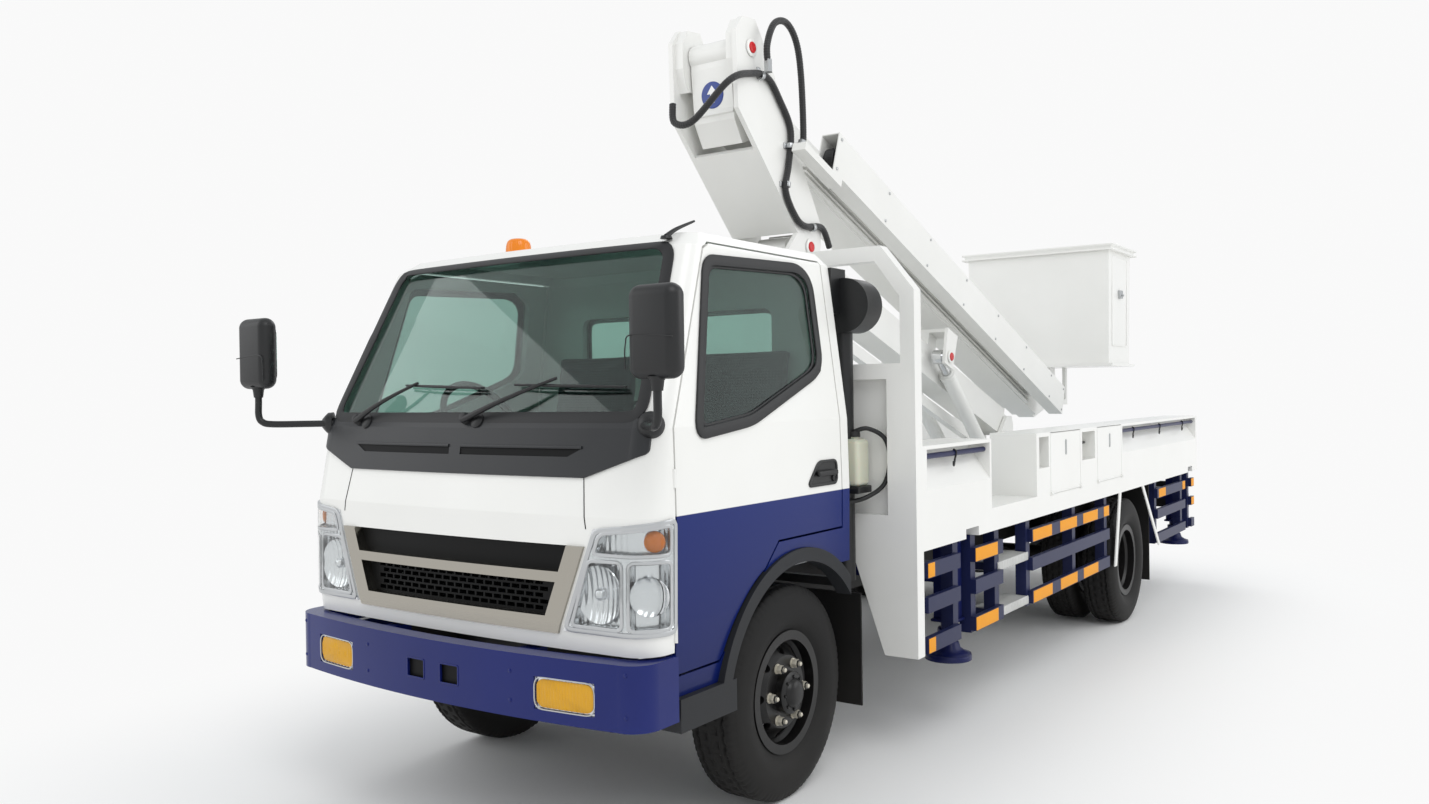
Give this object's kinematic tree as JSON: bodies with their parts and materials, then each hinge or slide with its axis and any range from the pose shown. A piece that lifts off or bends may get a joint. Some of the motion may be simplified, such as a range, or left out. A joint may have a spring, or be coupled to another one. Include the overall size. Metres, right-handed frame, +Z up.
{
  "type": "cherry picker truck",
  "caption": "Cab-over truck with a slewing folded boom, telescoping upper arm and work bucket, jacks, side lockers, steered front wheels and twin rear wheels.",
  "frame": {"origin": "on the ground under the middle of the overall length and width", "axes": "+X forward, +Y to the left side of the vehicle, +Z up"},
  "size_m": [6.95, 2.168, 3.2919],
  "materials": {
    "white_paint": "white gloss paint",
    "cab_paint": "white above, deep blue below, gloss paint",
    "bumper_blue": "blue gloss paint",
    "chassis_paint": "black chassis paint",
    "engine_iron": "dull cast iron",
    "axle_iron": "black painted castings",
    "wheel_black": "black satin wheel paint",
    "tyre": "road tyre",
    "glass": "green tinted glass",
    "garnish_black": "gloss black panel",
    "grille_black": "dark grey mesh",
    "stainless": "polished stainless trim",
    "lamp_glass": "clear lens over silver reflector",
    "mirror_black": "grained black plastic",
    "beacon_amber": "amber lens",
    "dash_grey": "dark grey dashboard plastic",
    "seat_cloth": "grey seat cloth",
    "flare_black": "black flare plastic",
    "rubber": "black rubber sheet",
    "deck_steel": "grey deck paint",
    "body_white": "white body paint",
    "guard_blue_grey": "pale blue grey paint",
    "jack_blue": "blue jack paint",
    "bright_steel": "bright rod steel",
    "boom_white": "white boom paint",
    "hose_black": "black hose sleeve",
    "bucket_white": "white moulded shell"
  },
  "bodies": {
    "truck": {"air_intake": "flare_black", "body_sides": "body_white", "cab_glass": "glass", "cab_shell": "cab_paint", "chassis_frame": "chassis_paint", "dashboard": "dash_grey", "deck": "deck_steel", "engine_block": "engine_iron", "front_axle": "axle_iron", "front_bumper": "bumper_blue", "front_lamps": "lamp_glass", "fuel_tank": "chassis_paint", "garnish_panel": "garnish_black", "grille": "grille_black", "grille_frame": "stainless", "headboard_rack": "white_paint", "jack_housings": "jack_blue", "mirrors": "mirror_black", "mud_flaps": "rubber", "rear_axle": "axle_iron", "rear_bumper": "chassis_paint", "roof_beacon": "beacon_amber", "seats": "seat_cloth", "side_guards": "guard_blue_grey", "wheel_arches": "flare_black"},
    "door_left": {"door_left": "cab_paint", "door_glass_left": "glass"},
    "knuckle_left": {"knuckle_left": "axle_iron"},
    "front_wheel_left": {"wheel_front_left": "wheel_black", "tyre_front_left": "tyre"},
    "rear_wheels_left": {"wheels_rear_left": "wheel_black", "tyres_rear_left": "tyre"},
    "locker_front_left": {"locker_door_front_left": "body_white"},
    "jack_front_left": {"jack_leg_front_left": "bright_steel"},
    "locker_rear_left": {"locker_door_rear_left": "body_white"},
    "jack_rear_left": {"jack_leg_rear_left": "bright_steel"},
    "door_right": {"door_right": "cab_paint", "door_glass_right": "glass"},
    "knuckle_right": {"knuckle_right": "axle_iron"},
    "front_wheel_right": {"wheel_front_right": "wheel_black", "tyre_front_right": "tyre"},
    "rear_wheels_right": {"wheels_rear_right": "wheel_black", "tyres_rear_right": "tyre"},
    "locker_front_right": {"locker_door_front_right": "body_white"},
    "jack_front_right": {"jack_leg_front_right": "bright_steel"},
    "locker_rear_right": {"locker_door_rear_right": "body_white"},
    "jack_rear_right": {"jack_leg_rear_right": "bright_steel"},
    "turret": {"turret": "white_paint"},
    "lower_arm": {"lower_arm": "boom_white"},
    "tie_rod": {"tie_rod": "boom_white"},
    "riser": {"riser_head": "boom_white", "riser_hoses": "hose_black"},
    "barrels": {"lift_barrels": "white_paint"},
    "rods": {"lift_rods": "bright_steel"},
    "upper_boom": {"upper_boom": "boom_white", "boom_hoses": "hose_black"},
    "telescope": {"telescope": "boom_white"},
    "bucket": {"bucket": "bucket_white"}
  },
  "joints": [
    {"name": "steer_left", "type": "hinge", "parent": "truck", "child": "knuckle_left", "pos_m": [2.415, 0.618, 0.401], "axis": [0, 0, 1], "range_deg": [-30, 30]},
    {"name": "wheel_spin_front_left", "type": "hinge", "parent": "knuckle_left", "child": "front_wheel_left", "pos_m": [2.415, 0.71, 0.401], "axis": [0, 1, 0], "continuous": true},
    {"name": "wheel_spin_rear_left", "type": "hinge", "parent": "truck", "child": "rear_wheels_left", "pos_m": [-1.485, 0.8, 0.401], "axis": [0, 1, 0], "continuous": true},
    {"name": "door_left", "type": "hinge", "parent": "truck", "child": "door_left", "pos_m": [3.177, 0.851, 1.2], "axis": [0, 0, -1], "range_deg": [0, 65]},
    {"name": "locker_front_left", "type": "hinge", "parent": "truck", "child": "locker_front_left", "pos_m": [-0.1355, 1.048, 0.969], "axis": [-1, 0, 0], "range_deg": [0, 95]},
    {"name": "locker_rear_left", "type": "hinge", "parent": "truck", "child": "locker_rear_left", "pos_m": [-0.9972, 1.048, 0.969], "axis": [-1, 0, 0], "range_deg": [0, 95]},
    {"name": "jack_front_left", "type": "slide", "parent": "truck", "child": "jack_front_left", "axis": [0, 0, -1], "range_m": [0, 0.29]},
    {"name": "jack_rear_left", "type": "slide", "parent": "truck", "child": "jack_rear_left", "axis": [0, 0, -1], "range_m": [0, 0.29]},
    {"name": "steer_right", "type": "hinge", "parent": "truck", "child": "knuckle_right", "pos_m": [2.415, -0.618, 0.401], "axis": [0, 0, 1], "range_deg": [-30, 30]},
    {"name": "wheel_spin_front_right", "type": "hinge", "parent": "knuckle_right", "child": "front_wheel_right", "pos_m": [2.415, -0.71, 0.401], "axis": [0, 1, 0], "continuous": true},
    {"name": "wheel_spin_rear_right", "type": "hinge", "parent": "truck", "child": "rear_wheels_right", "pos_m": [-1.485, -0.8, 0.401], "axis": [0, 1, 0], "continuous": true},
    {"name": "door_right", "type": "hinge", "parent": "truck", "child": "door_right", "pos_m": [3.177, -0.851, 1.2], "axis": [0, 0, 1], "range_deg": [0, 65]},
    {"name": "locker_front_right", "type": "hinge", "parent": "truck", "child": "locker_front_right", "pos_m": [-0.1355, -1.048, 0.969], "axis": [1, 0, 0], "range_deg": [0, 95]},
    {"name": "locker_rear_right", "type": "hinge", "parent": "truck", "child": "locker_rear_right", "pos_m": [-0.9972, -1.048, 0.969], "axis": [1, 0, 0], "range_deg": [0, 95]},
    {"name": "jack_front_right", "type": "slide", "parent": "truck", "child": "jack_front_right", "axis": [0, 0, -1], "range_m": [0, 0.29]},
    {"name": "jack_rear_right", "type": "slide", "parent": "truck", "child": "jack_rear_right", "axis": [0, 0, -1], "range_m": [0, 0.29]},
    {"name": "slew", "type": "hinge", "parent": "truck", "child": "turret", "pos_m": [-1.535, 0, 1], "axis": [0, 0, 1], "range_deg": [-180, 180]},
    {"name": "lower_lift", "type": "hinge", "parent": "turret", "child": "lower_arm", "pos_m": [-1.835, 0, 1.27], "axis": [0, -1, 0], "range_deg": [0, 60]},
    {"name": "tie_swing", "type": "hinge", "parent": "turret", "child": "tie_rod", "pos_m": [-1.649, 0, 1.103], "axis": [0, -1, 0], "range_deg": [0, 60]},
    {"name": "riser_level", "type": "hinge", "parent": "lower_arm", "child": "riser", "pos_m": [1.165, 0, 2.25], "axis": [0, 1, 0], "range_deg": [0, 60]},
    {"name": "barrel_swing", "type": "hinge", "parent": "turret", "child": "barrels", "pos_m": [-1.285, 0, 1.078], "axis": [0, -1, 0], "range_deg": [0, 60.6]},
    {"name": "lift_stroke", "type": "slide", "parent": "barrels", "child": "rods", "axis": [0.7607, 0, 0.6491], "range_m": [0, 0.5845]},
    {"name": "upper_lift", "type": "hinge", "parent": "riser", "child": "upper_boom", "pos_m": [1.68, 0, 3.115], "axis": [0, 1, 0], "range_deg": [0, 85]},
    {"name": "telescope", "type": "slide", "parent": "upper_boom", "child": "telescope", "axis": [-0.9397, 0, -0.342], "range_m": [0, 3]},
    {"name": "bucket_level", "type": "hinge", "parent": "telescope", "child": "bucket", "pos_m": [-2.8775, 0, 1.4562], "axis": [0, -1, 0], "range_deg": [0, 85]}
  ],
  "couplings": [
    {"joint": "steer_right", "follows": "steer_left", "ratio": 1},
    {"joint": "tie_swing", "follows": "lower_lift", "ratio": 1},
    {"joint": "riser_level", "follows": "lower_lift", "ratio": 1},
    {"joint": "barrel_swing", "follows": "lower_lift", "ratio": 1.0017},
    {"joint": "lift_stroke", "follows": "lower_lift", "m_per_rad": 0.55629},
    {"joint": "bucket_level", "follows": "upper_lift", "ratio": 1}
  ]
}
